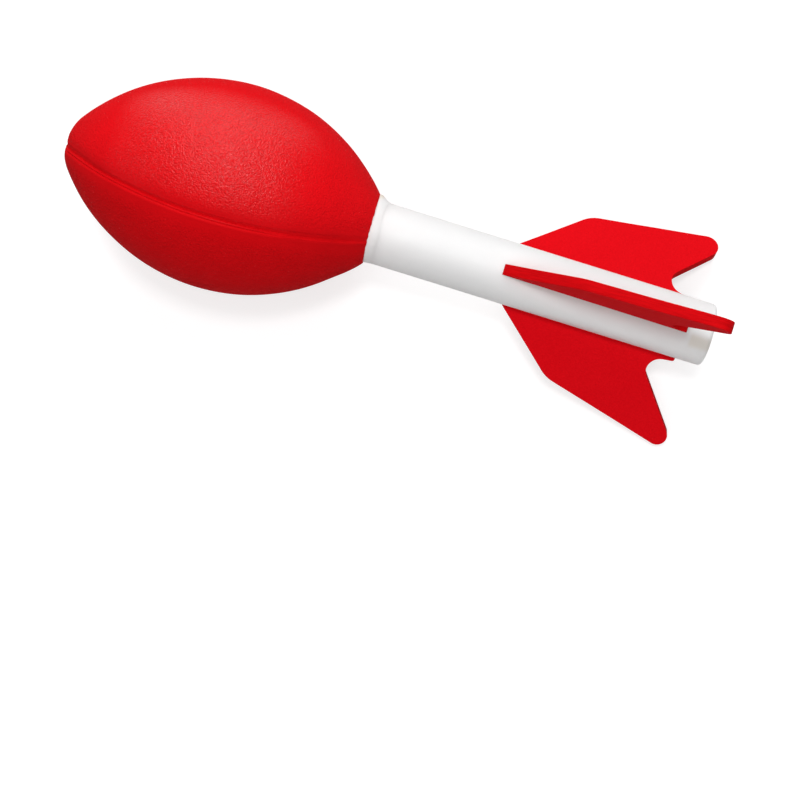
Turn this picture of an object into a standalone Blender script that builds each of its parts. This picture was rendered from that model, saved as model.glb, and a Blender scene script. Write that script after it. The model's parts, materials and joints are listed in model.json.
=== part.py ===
"""Foam throwing football with a tail tube and three fins.

Metres, +Z up. Every piece is made in the ball's own frame: X runs along the tube from the nose
to the tail, X = 0 is the foam's rear face, and the top fin points up. One parent empty then
turns and lifts the whole ball into its rest pose, lying on the foam and on two fin tips, with
the origin under the middle of its bounding box.
"""
import math

import bmesh
import bpy
from mathutils import Matrix, Vector

# Foam ball
BALL_HALF_LENGTH = 0.0370    # from the widest place to the nose
BALL_RADIUS = 0.0232         # at the widest place
NOSE_RADIUS = 0.0090         # rounding of the nose
NECK_LIP = 0.0008            # foam round the tube at the rear face
SEAM_ANGLE = math.radians(-26.5)    # parting line, turned about the tube from the top fin
SEAM_WIDTH = 0.0008
SEAM_DEPTH = 0.0005

# Tail tube
TUBE_RADIUS = 0.0070
TUBE_WALL = 0.0016
TUBE_REACH = 0.0786          # from the foam's rear face to the tail end
TUBE_DEPTH = 0.0380          # length held inside the foam
RIM_ROUNDING = 0.0008        # outer edge of the tail end
RIM_INNER_ROUNDING = 0.0002  # edge of the bore

# Plug that closes the tube's front end
PLUG_FLANGE = 0.0020
PLUG_STEM = 0.0070
PLUG_ROUNDING = 0.0010

# Glue bead in the corner between the foam and the tube, with heights above the tube
BEAD_LENGTH = 0.0028
BEAD_FRONT_HEIGHT = 0.0008
BEAD_REAR_HEIGHT = 0.0005
BEAD_LEAN = 0.0002           # how far its front sits off centre
BEAD_LEAN_ANGLE = math.radians(100)

# Fins, cut from flat sheet, with heights above the tube
FIN_THICKNESS = 0.0023
FIN_INSET = 0.0048           # from the tail end to the fin's tang
FIN_ROOT_LENGTH = 0.0412
FIN_SWEEP = math.radians(43.4)      # leading edge to the tube
FIN_SHOULDER_HEIGHT = 0.0143        # corner of the leading and the outer edge
FIN_TIP_HEIGHT = 0.0227             # corner of the outer and the trailing edge
FIN_TRAIL = math.radians(50.7)      # trailing edge to the tube
FIN_TANG = 0.0042            # straight strip on the tube behind the notch
FIN_TANG_HEIGHT = 0.0020
SHOULDER_ROUNDING = 0.0070
TIP_ROUNDING = 0.0027
NOTCH_ROUNDING = 0.0016
ROOT_ROUNDING = 0.0004
FIN_EDGE_ROUNDING = 0.0003

# Fits
GLUE_GAP = 0.0003            # glue film between pieces that are bonded

# Fins in order round the tube from the top, seen along the throw
FIN_NAMES = ("top_fin", "right_fin", "left_fin")
FIN_STEP = 2 * math.pi / len(FIN_NAMES)

# Finishes: colour and roughness
FOAM_FINISH = ((0.68, 0.008, 0.012), 0.6)
SHEET_FINISH = ((0.62, 0.006, 0.010), 0.65)
TUBE_FINISH = ((0.87, 0.87, 0.86), 0.35)
PLUG_FINISH = ((0.80, 0.80, 0.79), 0.4)
GLUE_FINISH = ((0.83, 0.80, 0.74), 0.3)

# Mesh steps
BALL_STEPS = 48
TUBE_STEPS = 40
ARC_STEPS = 15
NOSE_STEPS = 6
ROUND_STEPS = 5
TINY_STEPS = 3

MERGE = 0.00001
SHARP_ANGLE = math.radians(32)

# Worked out from the sizes above
BORE_RADIUS = TUBE_RADIUS - TUBE_WALL
SOCKET_RADIUS = TUBE_RADIUS + GLUE_GAP
SOCKET_DEPTH = TUBE_DEPTH + PLUG_FLANGE + 2 * GLUE_GAP
NOSE_CENTRE = BALL_HALF_LENGTH - NOSE_RADIUS
SIDE_RADIUS = ((NOSE_CENTRE ** 2 + BALL_RADIUS ** 2 - NOSE_RADIUS ** 2)
               / (2 * (BALL_RADIUS - NOSE_RADIUS)))
SIDE_DROP = SIDE_RADIUS - BALL_RADIUS
BLEND_ANGLE = math.atan2(SIDE_DROP, NOSE_CENTRE)
NECK_DISTANCE = math.sqrt(SIDE_RADIUS ** 2 - (SOCKET_RADIUS + NECK_LIP + SIDE_DROP) ** 2)


def new_collection(name):
    """Adds an empty collection to the scene."""
    collection = bpy.data.collections.new(name)
    bpy.context.scene.collection.children.link(collection)
    return collection


def make_material(name, finish):
    """A Principled material of one colour, for foam, plastic or glue."""
    colour, roughness = finish
    material = bpy.data.materials.new(name)
    material.use_nodes = True
    shader = material.node_tree.nodes["Principled BSDF"]
    shader.inputs["Base Color"].default_value = (*colour, 1.0)
    shader.inputs["Roughness"].default_value = roughness
    shader.inputs["Metallic"].default_value = 0.0
    material.diffuse_color = (*colour, 1.0)
    return material


def add_object(name, data, collection, parent=None, material=None):
    """Links new data into the scene as one named object."""
    obj = bpy.data.objects.new(name, data)
    collection.objects.link(obj)
    obj.parent = parent
    if material is not None:
        obj.data.materials.append(material)
    return obj


def make_cutter(obj):
    """Marks an object as a tool for a cut, which is no part of the ball."""
    obj.hide_render = True
    obj.display_type = 'WIRE'


def smooth(mesh):
    """Shades a mesh smooth, apart from its real edges."""
    mesh.shade_smooth()
    mesh.set_sharp_from_angle(angle=SHARP_ANGLE)


def bake(obj):
    """Replaces an object by the plain mesh that its curve or its modifiers make."""
    bpy.context.view_layer.update()
    evaluated = obj.evaluated_get(bpy.context.evaluated_depsgraph_get())
    mesh = bpy.data.meshes.new_from_object(evaluated)
    welded = bmesh.new()
    welded.from_mesh(mesh)
    bmesh.ops.remove_doubles(welded, verts=welded.verts, dist=MERGE)
    welded.to_mesh(mesh)
    welded.free()
    smooth(mesh)
    solid = bpy.data.objects.new(obj.name, mesh)
    for collection in obj.users_collection:
        collection.objects.link(solid)
    solid.parent = obj.parent
    solid.matrix_basis = obj.matrix_basis
    name = obj.name
    bpy.data.objects.remove(obj)
    solid.name = name
    return solid


def arc(centre, radius, start, end, steps):
    """Points along an arc in a plane, from one angle to another."""
    turn = (end - start) / steps
    angles = [start + turn * step for step in range(steps + 1)]
    return [(centre[0] + radius * math.cos(angle), centre[1] + radius * math.sin(angle)) for angle in angles]


def turned(name, profile, steps, collection, parent, material, closed=False):
    """Turns a profile of (radius, distance along X) about the tube's axis.

    The profile runs along the outer side from the tail towards the nose.
    """
    mesh = bpy.data.meshes.new(name)
    outline = bmesh.new()
    points = [outline.verts.new((radius, 0.0, along)) for radius, along in profile]
    for first, second in zip(points, points[1:]):
        outline.edges.new((first, second))
    if closed:
        outline.edges.new((points[-1], points[0]))
    outline.to_mesh(mesh)
    outline.free()
    obj = add_object(name, mesh, collection, parent, material)
    obj.rotation_euler = (0.0, math.pi / 2, 0.0)
    screw = obj.modifiers.new("Turn", 'SCREW')
    screw.axis = 'Z'
    screw.steps = steps
    screw.render_steps = steps
    screw.use_merge_vertices = True
    screw.merge_threshold = MERGE
    return bake(obj)


def ball_outline(inset=0.0, overrun=0.0):
    """The ball's profile as (radius, distance along X), from the rear face to the nose.

    The side is one large arc, and the nose is a small one that meets it without a corner.
    A profile with an inset runs parallel to the skin, below it. An overrun carries the side on
    past the rear face.
    """
    side = SIDE_RADIUS - inset
    nose = NOSE_RADIUS - inset
    rear = math.asin((NECK_DISTANCE + overrun) / side)
    front = math.pi / 2 - BLEND_ANGLE
    side_arc = arc((-SIDE_DROP, -NECK_DISTANCE), side, rear, -front, ARC_STEPS * 2)
    nose_arc = arc((0.0, -NECK_DISTANCE - NOSE_CENTRE), nose, -front, -math.pi / 2, NOSE_STEPS)
    nose_arc[-1] = (0.0, nose_arc[-1][1])
    return side_arc + nose_arc[1:]


def seam_cutter(collection, parent):
    """A flat horseshoe that cuts the parting line's groove into both sides of the ball."""
    inner = ball_outline(inset=SEAM_DEPTH, overrun=SEAM_DEPTH)
    outer = ball_outline(inset=-SEAM_DEPTH, overrun=2 * SEAM_DEPTH)
    half = [(along, radius) for radius, along in inner]
    rim = [(along, radius) for radius, along in outer]
    loop = half + [(along, -radius) for along, radius in reversed(half[:-1])]
    loop += [(along, -radius) for along, radius in rim[:-1]] + list(reversed(rim))
    curve = bpy.data.curves.new("seam_cutter", 'CURVE')
    curve.dimensions = '2D'
    curve.fill_mode = 'BOTH'
    curve.extrude = SEAM_WIDTH / 2
    spline = curve.splines.new('POLY')
    spline.points.add(len(loop) - 1)
    for point, (along, across) in zip(spline.points, loop):
        point.co = (along, across, 0.0, 1.0)
    spline.use_cyclic_u = True
    obj = add_object("seam_cutter", curve, collection, parent)
    obj.rotation_euler = (math.pi / 2 - SEAM_ANGLE, 0.0, 0.0)
    cutter = bake(obj)
    make_cutter(cutter)
    return cutter


def foam_football(collection, cutters, parent, material):
    """The moulded foam ball, with the blind socket that holds the tube."""
    socket = [(0.0, -SOCKET_DEPTH), (SOCKET_RADIUS, -SOCKET_DEPTH), (SOCKET_RADIUS, 0.0)]
    ball = turned("foam_football", socket + ball_outline(), BALL_STEPS, collection, parent, material)
    groove = ball.modifiers.new("Seam", 'BOOLEAN')
    groove.operation = 'DIFFERENCE'
    groove.solver = 'EXACT'
    groove.object = seam_cutter(cutters, parent)
    return ball


def tail_tube(collection, parent, material):
    """The plastic tube, open at the tail with a rounded rim."""
    end = TUBE_REACH
    rim = min(RIM_ROUNDING, TUBE_WALL / 2)
    outer = arc((TUBE_RADIUS - rim, end - rim), rim, math.pi / 2, 0.0, ROUND_STEPS)
    inner = arc((BORE_RADIUS + RIM_INNER_ROUNDING, end - RIM_INNER_ROUNDING), RIM_INNER_ROUNDING,
                math.pi, math.pi / 2, TINY_STEPS)
    front = [(TUBE_RADIUS, -TUBE_DEPTH), (BORE_RADIUS, -TUBE_DEPTH)]
    return turned("tail_tube", outer + front + inner, TUBE_STEPS, collection, parent, material, closed=True)


def tube_front_plug(collection, parent, material):
    """The plug in the tube's front end, whose flange spreads a hit over the foam."""
    seat = -TUBE_DEPTH - GLUE_GAP
    face = seat - PLUG_FLANGE
    rim = min(PLUG_ROUNDING, PLUG_FLANGE / 2)
    stem = BORE_RADIUS - GLUE_GAP
    profile = [(0.0, seat + PLUG_STEM), (stem, seat + PLUG_STEM), (stem, seat), (TUBE_RADIUS, seat)]
    profile += arc((TUBE_RADIUS - rim, face + rim), rim, 0.0, -math.pi / 2, TINY_STEPS)
    profile += [(0.0, face)]
    return turned("tube_front_plug", profile, TUBE_STEPS, collection, parent, material)


def cone_along_tube(name, middle, length, front_radius, rear_radius, lean=Vector()):
    """A capped cone round the tube's axis. Its front ring is moved off the axis by the lean."""
    mesh = bpy.data.meshes.new(name)
    cone = bmesh.new()
    place = Matrix.Translation((middle, 0.0, 0.0)) @ Matrix.Rotation(math.pi / 2, 4, 'Y')
    bmesh.ops.create_cone(cone, cap_ends=True, segments=TUBE_STEPS, depth=length, radius1=front_radius,
                          radius2=rear_radius, matrix=place)
    bmesh.ops.translate(cone, verts=[vert for vert in cone.verts if vert.co.x < middle], vec=lean)
    cone.to_mesh(mesh)
    cone.free()
    smooth(mesh)
    return mesh


def neck_glue_bead(collection, cutters, parent, material):
    """The bead of glue that fills the corner behind the foam, a little off centre."""
    middle = GLUE_GAP + BEAD_LENGTH / 2
    lean = Vector((0.0, math.sin(BEAD_LEAN_ANGLE), math.cos(BEAD_LEAN_ANGLE))) * BEAD_LEAN
    mesh = cone_along_tube("neck_glue_bead", middle, BEAD_LENGTH, TUBE_RADIUS + BEAD_FRONT_HEIGHT,
                           TUBE_RADIUS + BEAD_REAR_HEIGHT, lean)
    bead = add_object("neck_glue_bead", mesh, collection, parent, material)
    hole = cone_along_tube("bead_cutter", middle, 2 * BEAD_LENGTH, SOCKET_RADIUS, SOCKET_RADIUS)
    cutter = add_object("bead_cutter", hole, cutters, parent)
    make_cutter(cutter)
    opening = bead.modifiers.new("Bore", 'BOOLEAN')
    opening.operation = 'DIFFERENCE'
    opening.solver = 'EXACT'
    opening.object = cutter
    return bead


def fin_corners():
    """The fin's outline before rounding: (along, radius, rounding) in order round the fin."""
    root = TUBE_RADIUS + GLUE_GAP
    tang_top = TUBE_RADIUS + FIN_TANG_HEIGHT
    tang_end = TUBE_REACH - FIN_INSET
    notch = tang_end - FIN_TANG - NOTCH_ROUNDING / math.tan(FIN_TRAIL / 2)
    tip = notch + (FIN_TIP_HEIGHT - FIN_TANG_HEIGHT) / math.tan(FIN_TRAIL)
    front = tang_end - FIN_ROOT_LENGTH
    shoulder = front + (FIN_SHOULDER_HEIGHT - GLUE_GAP) / math.tan(FIN_SWEEP)
    return [
        (front, root, ROOT_ROUNDING),
        (shoulder, TUBE_RADIUS + FIN_SHOULDER_HEIGHT, SHOULDER_ROUNDING),
        (tip, TUBE_RADIUS + FIN_TIP_HEIGHT, TIP_ROUNDING),
        (notch, tang_top, NOTCH_ROUNDING),
        (tang_end, tang_top, ROOT_ROUNDING),
        (tang_end, root, ROOT_ROUNDING),
    ]


def rounded_corner(before, corner, after, rounding):
    """The centre of a corner's rounding, and the directions to its two ends."""
    here = Vector(corner)
    back = (Vector(before) - here).normalized()
    ahead = (Vector(after) - here).normalized()
    half = back.angle(ahead) / 2
    centre = here + (back + ahead).normalized() * rounding / math.sin(half)
    reach = rounding / math.tan(half)
    return centre, here + back * reach - centre, here + ahead * reach - centre


def fin_outline():
    """Points round the fin, with each corner rounded."""
    corners = fin_corners()
    outline = []
    for index, (along, radius, rounding) in enumerate(corners):
        before = corners[index - 1][:2]
        after = corners[(index + 1) % len(corners)][:2]
        centre, first, last = rounded_corner(before, (along, radius), after, rounding)
        start = math.atan2(first.y, first.x)
        turn = (math.atan2(last.y, last.x) - start + math.pi) % (2 * math.pi) - math.pi
        steps = TINY_STEPS if rounding == ROOT_ROUNDING else ROUND_STEPS
        outline += arc(centre, rounding, start, start + turn, steps)
    return outline


def fin_tip_circle():
    """The centre of the tip's rounding, as (along, radius)."""
    corners = [corner[:2] for corner in fin_corners()]
    return rounded_corner(corners[1], corners[2], corners[3], TIP_ROUNDING)[0]


def fin(name, angle, collection, parent, material):
    """One fin cut from flat foam sheet, standing on the tube at an angle from the top."""
    curve = bpy.data.curves.new(name, 'CURVE')
    curve.dimensions = '2D'
    curve.fill_mode = 'BOTH'
    curve.extrude = FIN_THICKNESS / 2 - FIN_EDGE_ROUNDING
    curve.bevel_depth = FIN_EDGE_ROUNDING
    curve.bevel_resolution = 1
    curve.offset = -FIN_EDGE_ROUNDING
    spline = curve.splines.new('POLY')
    outline = fin_outline()
    spline.points.add(len(outline) - 1)
    for point, (along, radius) in zip(spline.points, outline):
        point.co = (along, radius, 0.0, 1.0)
    spline.use_cyclic_u = True
    obj = add_object(name, curve, collection, parent, material)
    obj.rotation_euler = (math.pi / 2 - angle, 0.0, 0.0)
    return bake(obj)


def ball_depth(tilt):
    """How far the ball reaches below the foot of the tube's axis, at a tilt."""
    return SIDE_RADIUS - NECK_DISTANCE * math.sin(tilt) - SIDE_DROP * math.cos(tilt)


def fin_depth(tilt):
    """How far the two lower fins reach below the foot of the tube's axis, at a tilt."""
    along, radius = fin_tip_circle()
    lean = math.pi - FIN_STEP
    half_thickness = FIN_THICKNESS / 2 - FIN_EDGE_ROUNDING
    flat = (radius * math.cos(lean) + half_thickness * math.sin(lean)) * math.cos(tilt)
    edge = (TIP_ROUNDING - FIN_EDGE_ROUNDING) * math.hypot(math.sin(tilt), math.cos(tilt) * math.cos(lean))
    return along * math.sin(tilt) + flat + edge + FIN_EDGE_ROUNDING


def rest_pose():
    """The tilt and the place of the ball's frame when it lies on the foam and two fin tips."""
    low, high = 0.0, math.radians(45)
    for _ in range(60):
        tilt = (low + high) / 2
        if fin_depth(tilt) < ball_depth(tilt):
            low = tilt
        else:
            high = tilt
    along, radius = fin_tip_circle()
    nose = -(NECK_DISTANCE + NOSE_CENTRE) * math.cos(tilt) - NOSE_RADIUS
    tail = along * math.cos(tilt) + radius * math.sin(tilt) + TIP_ROUNDING
    return tilt, Vector((-(nose + tail) / 2, 0.0, ball_depth(tilt)))


def main():
    for obj in list(bpy.data.objects):
        bpy.data.objects.remove(obj)
    parts = new_collection("throwing_football")
    cutters = new_collection("cutters")
    tilt, place = rest_pose()
    frame = bpy.data.objects.new("rest_pose", None)
    parts.objects.link(frame)
    frame.rotation_euler = (0.0, tilt, 0.0)
    frame.location = place

    foam_football(parts, cutters, frame, make_material("red_foam", FOAM_FINISH))
    tail_tube(parts, frame, make_material("white_plastic", TUBE_FINISH))
    tube_front_plug(parts, frame, make_material("plug_plastic", PLUG_FINISH))
    neck_glue_bead(parts, cutters, frame, make_material("dried_glue", GLUE_FINISH))
    for index, name in enumerate(FIN_NAMES):
        fin(name, FIN_STEP * index, parts, frame, make_material(name + "_sheet", SHEET_FINISH))


if __name__ == "__main__":
    main()
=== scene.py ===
"""Looks of a small foam throwing football with a tail tube and three fins.

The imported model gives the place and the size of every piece. Each sub-assembly is a class that
builds its mesh in the ball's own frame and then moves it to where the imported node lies. In that
frame X runs along the tube from the nose to the tail, X = 0 is the foam's rear face, and the top
fin points up. An angle round the tube is counted from the top fin towards +Y. Metres throughout.
"""

import json
import logging
import math
from dataclasses import dataclass
from enum import Enum
from typing import Any, Optional, Sequence

import bmesh
import bpy
from mathutils import Matrix, Vector, noise


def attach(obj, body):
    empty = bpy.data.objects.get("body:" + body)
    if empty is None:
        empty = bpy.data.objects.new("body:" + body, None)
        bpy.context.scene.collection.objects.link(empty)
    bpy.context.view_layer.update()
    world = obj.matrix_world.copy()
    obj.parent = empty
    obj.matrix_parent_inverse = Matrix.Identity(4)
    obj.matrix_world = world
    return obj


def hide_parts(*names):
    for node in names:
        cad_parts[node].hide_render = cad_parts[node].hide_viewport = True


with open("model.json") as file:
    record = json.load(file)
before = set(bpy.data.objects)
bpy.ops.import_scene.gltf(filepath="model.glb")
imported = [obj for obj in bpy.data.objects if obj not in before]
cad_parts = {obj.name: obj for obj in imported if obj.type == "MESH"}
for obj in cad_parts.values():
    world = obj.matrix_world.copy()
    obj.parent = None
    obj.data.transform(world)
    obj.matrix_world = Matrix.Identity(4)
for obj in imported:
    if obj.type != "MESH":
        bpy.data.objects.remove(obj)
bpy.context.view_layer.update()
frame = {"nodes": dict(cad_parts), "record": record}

BODY = "root"
MERGE = 0.000002
ARC_STEP = 0.0003
UP = Vector((0.0, 0.0, 1.0))
TUBE_AXIS = Vector((1.0, 0.0, 0.0))

EDGE_MIDDLE = 0.0005
EDGE_LEAN = 0.0003
EDGE_WAVES = ((5.0, 0.00014), (13.0, 0.00012))

# The colour sockets of a Mix node, which share their names with its number sockets
MIX_COLOURS = (6, 7)
MIX_RESULT = 2

Colour = tuple[float, float, float]
Point2D = tuple[float, float]
Span = tuple[float, float]

log = logging.getLogger("football")


class Socket:
    """An output of a shader node, whose arithmetic adds Math nodes."""

    def __init__(self, graph: "Graph", source: bpy.types.NodeSocket) -> None:
        """Wraps an output of the graph."""
        self.graph = graph
        self.source = source

    def _math(self, operation: str, first: Any, second: Any) -> "Socket":
        """Adds one Math node."""
        return self.graph.add("ShaderNodeMath", {"operation": operation}, {0: first, 1: second})

    def __add__(self, other: Any) -> "Socket":
        """Self plus other."""
        return self._math("ADD", self, other)

    def __sub__(self, other: Any) -> "Socket":
        """Self minus other."""
        return self._math("SUBTRACT", self, other)

    def __rsub__(self, other: float) -> "Socket":
        """Other minus self."""
        return self._math("SUBTRACT", other, self)

    def __mul__(self, other: Any) -> "Socket":
        """Self times other."""
        return self._math("MULTIPLY", self, other)

    __radd__ = __add__
    __rmul__ = __mul__


class Graph:
    """The node tree of one material."""

    def __init__(self, name: str) -> None:
        """Starts a material without nodes.

        Args:
            name: The material's name.
        """
        self.material = bpy.data.materials.new(name)
        self.material.use_nodes = True
        self.tree = self.material.node_tree
        self.tree.nodes.clear()

    def add(self, kind: str, settings: Optional[dict[str, Any]] = None,
            inputs: Optional[dict[Any, Any]] = None, output: Any = 0) -> Socket:
        """Adds a node.

        Args:
            kind: The node's type.
            settings: The node's own properties, which are set first.
            inputs: The values or links of its sockets, by name or number.
            output: The output that is returned, by name or number.

        Returns:
            The chosen output.
        """
        node = self.tree.nodes.new(kind)
        for key, value in (settings or {}).items():
            setattr(node, key, value)
        for key, value in (inputs or {}).items():
            if isinstance(value, Socket):
                self.tree.links.new(value.source, node.inputs[key])
            else:
                node.inputs[key].default_value = value
        return Socket(self, node.outputs[output])

    def place(self) -> Socket:
        """The point on the surface, in metres."""
        return self.add("ShaderNodeTexCoord", output="Object")

    def attribute(self, name: str) -> Socket:
        """A number that the piece's own mesh holds."""
        return self.add("ShaderNodeAttribute", {"attribute_name": name}, output="Fac")

    def noise(self, place: Socket, size: float, detail: float = 2.0) -> Socket:
        """A soft pattern from 0 to 1, with clouds so many metres wide and so many finer layers."""
        return self.add("ShaderNodeTexNoise", {"noise_dimensions": "3D"},
                        {"Vector": place, "Scale": 1.0 / size, "Detail": detail}, "Fac")

    def cells(self, place: Socket, size: float) -> Socket:
        """The distance from the nearest middle of cells that are so many metres wide."""
        return self.add("ShaderNodeTexVoronoi", {"feature": "F1"},
                        {"Vector": place, "Scale": 1.0 / size}, "Distance")

    def ease(self, value: Socket, low: float, high: float, start: float = 0.0, end: float = 1.0) -> Socket:
        """Goes smoothly from start, where the value is low, to end, where it is high."""
        return self.add("ShaderNodeMapRange", {"interpolation_type": "SMOOTHSTEP"},
                        {"Value": value, "From Min": low, "From Max": high, "To Min": start, "To Max": end})

    def blend(self, share: Socket, first: Any, second: Any) -> Socket:
        """Mixes two colours.

        Args:
            share: 0 for the first colour, 1 for the second.
            first: A colour or a link.
            second: A colour or a link.

        Returns:
            The mixed colour.
        """
        colours = {key: (*value, 1.0) if isinstance(value, tuple) else value
                   for key, value in zip(MIX_COLOURS, (first, second))}
        return self.add("ShaderNodeMix", {"data_type": "RGBA"}, {0: share, **colours}, MIX_RESULT)

    def surface(self, colour: Socket, roughness: Any, height: Socket, depth: float,
                constants: dict[str, Any]) -> bpy.types.Material:
        """Ends the graph in a Principled shader, over a relief that is so many metres deep."""
        normal = self.relief(height, depth)
        return self.finished(self.principled(colour, roughness, normal, constants))

    def principled(self, colour: Socket, roughness: Any, normal: Socket, constants: dict[str, Any]) -> Socket:
        """A Principled shader, whose constants are the same all over."""
        return self.add("ShaderNodeBsdfPrincipled", None, {
            "Base Color": colour, "Roughness": roughness, "Normal": normal, **constants})

    def relief(self, height: Socket, depth: float) -> Socket:
        """The surface's normal under a relief from 0 to 1 that is so many metres high."""
        return self.add("ShaderNodeBump", None, {"Height": height, "Distance": depth, "Strength": 1.0})

    def finished(self, shader: Socket) -> bpy.types.Material:
        """Links a shader to the output.

        Args:
            shader: The surface's shader.

        Returns:
            The finished material.
        """
        node = self.tree.nodes.new("ShaderNodeOutputMaterial")
        self.tree.links.new(shader.source, node.inputs["Surface"])
        return self.material


@dataclass(frozen=True)
class FoamSkin:
    """The moulded skin of the foam ball: red, finely pebbled, smooth along the parting line.

    Use has polished its upper side to a sheen, and the rest is dull. Its lower half is darkened
    by painted shade below the parting line, and the grain's hollows carry painted shade too.
    """

    base: Colour = (0.80, 0.0030, 0.0070)
    deep: Colour = (0.60, 0.0015, 0.0040)
    mottle_size: float = 0.006
    mottle_span: Span = (0.3, 0.75)
    mottle_tone: float = 0.15
    pebble: float = 0.00044
    pebble_height: float = 0.4
    grain: float = 0.00036
    relief: float = 0.00020
    pit_grain: float = 0.6
    pit_span: Span = (0.05, 0.45)
    # Painted shade in the grain's hollows, stronger where the skin is polished, where it stands in for glints
    hollow_shade_tone: float = 0.10
    polished_hollow_shade_tone: float = 0.60
    # How far painted shade darkens the lower half towards the deep colour
    lower_shade_tone: float = 0.74
    dull: float = 1.0
    dull_shine: float = 0.10
    polished: float = 0.28
    polished_shine: float = 0.30
    bare_seam: float = 0.0008
    full_grain: float = 0.0040
    seam_grain: float = 0.10

    def build(self) -> bpy.types.Material:
        """Makes the material.

        Returns:
            The finished material, which reads three attributes of the ball's mesh.
        """
        graph = Graph("red_foam_skin")
        place = graph.place()
        pebbles = graph.cells(place, self.pebble)
        grains = graph.noise(place, self.grain, 1.0)
        off_seam = graph.attribute("seam_distance")
        share = graph.ease(off_seam, self.bare_seam, self.full_grain, self.seam_grain, 1.0)
        polish = graph.attribute("polish")
        height = ((1.0 - pebbles) * self.pebble_height + grains) * share
        mottle = graph.ease(graph.noise(place, self.mottle_size, 3.0), *self.mottle_span)
        # Painted shade in the grain's hollows; where the skin is polished it is stronger and stands in for
        # glints
        hollow_shade_tone = self.hollow_shade_tone + (self.polished_hollow_shade_tone - self.hollow_shade_tone) * polish
        pits = graph.ease(pebbles - grains * self.pit_grain, *self.pit_span) * share * hollow_shade_tone
        # Painted shade: the lower half is darkened towards the deep colour
        shade_below = graph.attribute("lower_half_shade") * self.lower_shade_tone
        # The mottle is the foam's own tone; the hollows and the lower half add painted shade
        colour = graph.blend(mottle * self.mottle_tone + pits + shade_below, self.base, self.deep)
        normal = graph.relief(height, self.relief)
        dull = graph.principled(colour, self.dull, normal, {"Specular IOR Level": self.dull_shine})
        sheen = graph.principled(colour, self.polished, normal, {"Specular IOR Level": self.polished_shine})
        return graph.finished(graph.add("ShaderNodeMixShader", None, {0: polish, 1: dull, 2: sheen}))


@dataclass(frozen=True)
class FinSheet:
    """The flat side of a foam sheet: dense, matte and finely grained."""

    base: Colour = (0.79, 0.0035, 0.0090)
    deep: Colour = (0.64, 0.0015, 0.0050)
    grain: float = 0.00045
    grain_span: Span = (0.30, 0.70)
    grain_tone: float = 0.35
    grain_height: float = 0.6
    cell: float = 0.0007
    pit_span: Span = (0.05, 0.30)
    pit_height: float = 0.5
    cloud: float = 0.009
    cloud_tone: float = 0.20
    relief: float = 0.00006
    roughness: float = 0.90
    cloud_roughness: float = 0.1
    specular: float = 0.05

    def build(self) -> bpy.types.Material:
        """Makes the material.

        Returns:
            The finished material.
        """
        graph = Graph("red_sheet_side")
        place = graph.place()
        fine = graph.noise(place, self.grain, 3.0)
        pits = graph.ease(graph.cells(place, self.cell), *self.pit_span)
        clouds = graph.noise(place, self.cloud, 2.0)
        tone = graph.ease(fine, *self.grain_span) * self.grain_tone + clouds * self.cloud_tone
        roughness = self.roughness + (clouds - 0.5) * self.cloud_roughness
        height = fine * self.grain_height + pits * self.pit_height
        return graph.surface(graph.blend(tone, self.base, self.deep), roughness, height, self.relief,
                             {"Specular IOR Level": self.specular})


@dataclass(frozen=True)
class FinCutEdge:
    """The cut edge of a foam sheet, with the blade's fine streaks along it."""

    base: Colour = (0.67, 0.0018, 0.0045)
    deep: Colour = (0.47, 0.0009, 0.0026)
    streak_width: float = 0.00022
    streak_length: float = 0.0045
    streak_span: Span = (0.35, 0.7)
    streak_tone: float = 0.6
    streak_height: float = 0.8
    cell: float = 0.00045
    cell_tone: float = 0.3
    cell_height: float = 0.4
    relief: float = 0.00004
    roughness: float = 0.8
    specular: float = 0.05

    def build(self) -> bpy.types.Material:
        """Makes the material.

        Returns:
            The finished material, which reads one attribute of the fins' meshes.
        """
        graph = Graph("red_sheet_cut_edge")
        place = graph.place()
        through = graph.attribute("through_sheet")
        stretch = self.streak_width / self.streak_length
        along = graph.add("ShaderNodeVectorMath", {"operation": "SCALE"}, {0: place, "Scale": stretch})
        layer = graph.add("ShaderNodeCombineXYZ", None, {"Y": through})
        lined = graph.add("ShaderNodeVectorMath", {"operation": "ADD"}, {0: along, 1: layer})
        streaks = graph.noise(lined, self.streak_width, 2.0)
        cells = graph.noise(place, self.cell, 3.0)
        tone = graph.ease(streaks, *self.streak_span) * self.streak_tone + cells * self.cell_tone
        height = streaks * self.streak_height + cells * self.cell_height
        return graph.surface(graph.blend(tone, self.base, self.deep), self.roughness, height, self.relief,
                             {"Specular IOR Level": self.specular})


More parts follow.
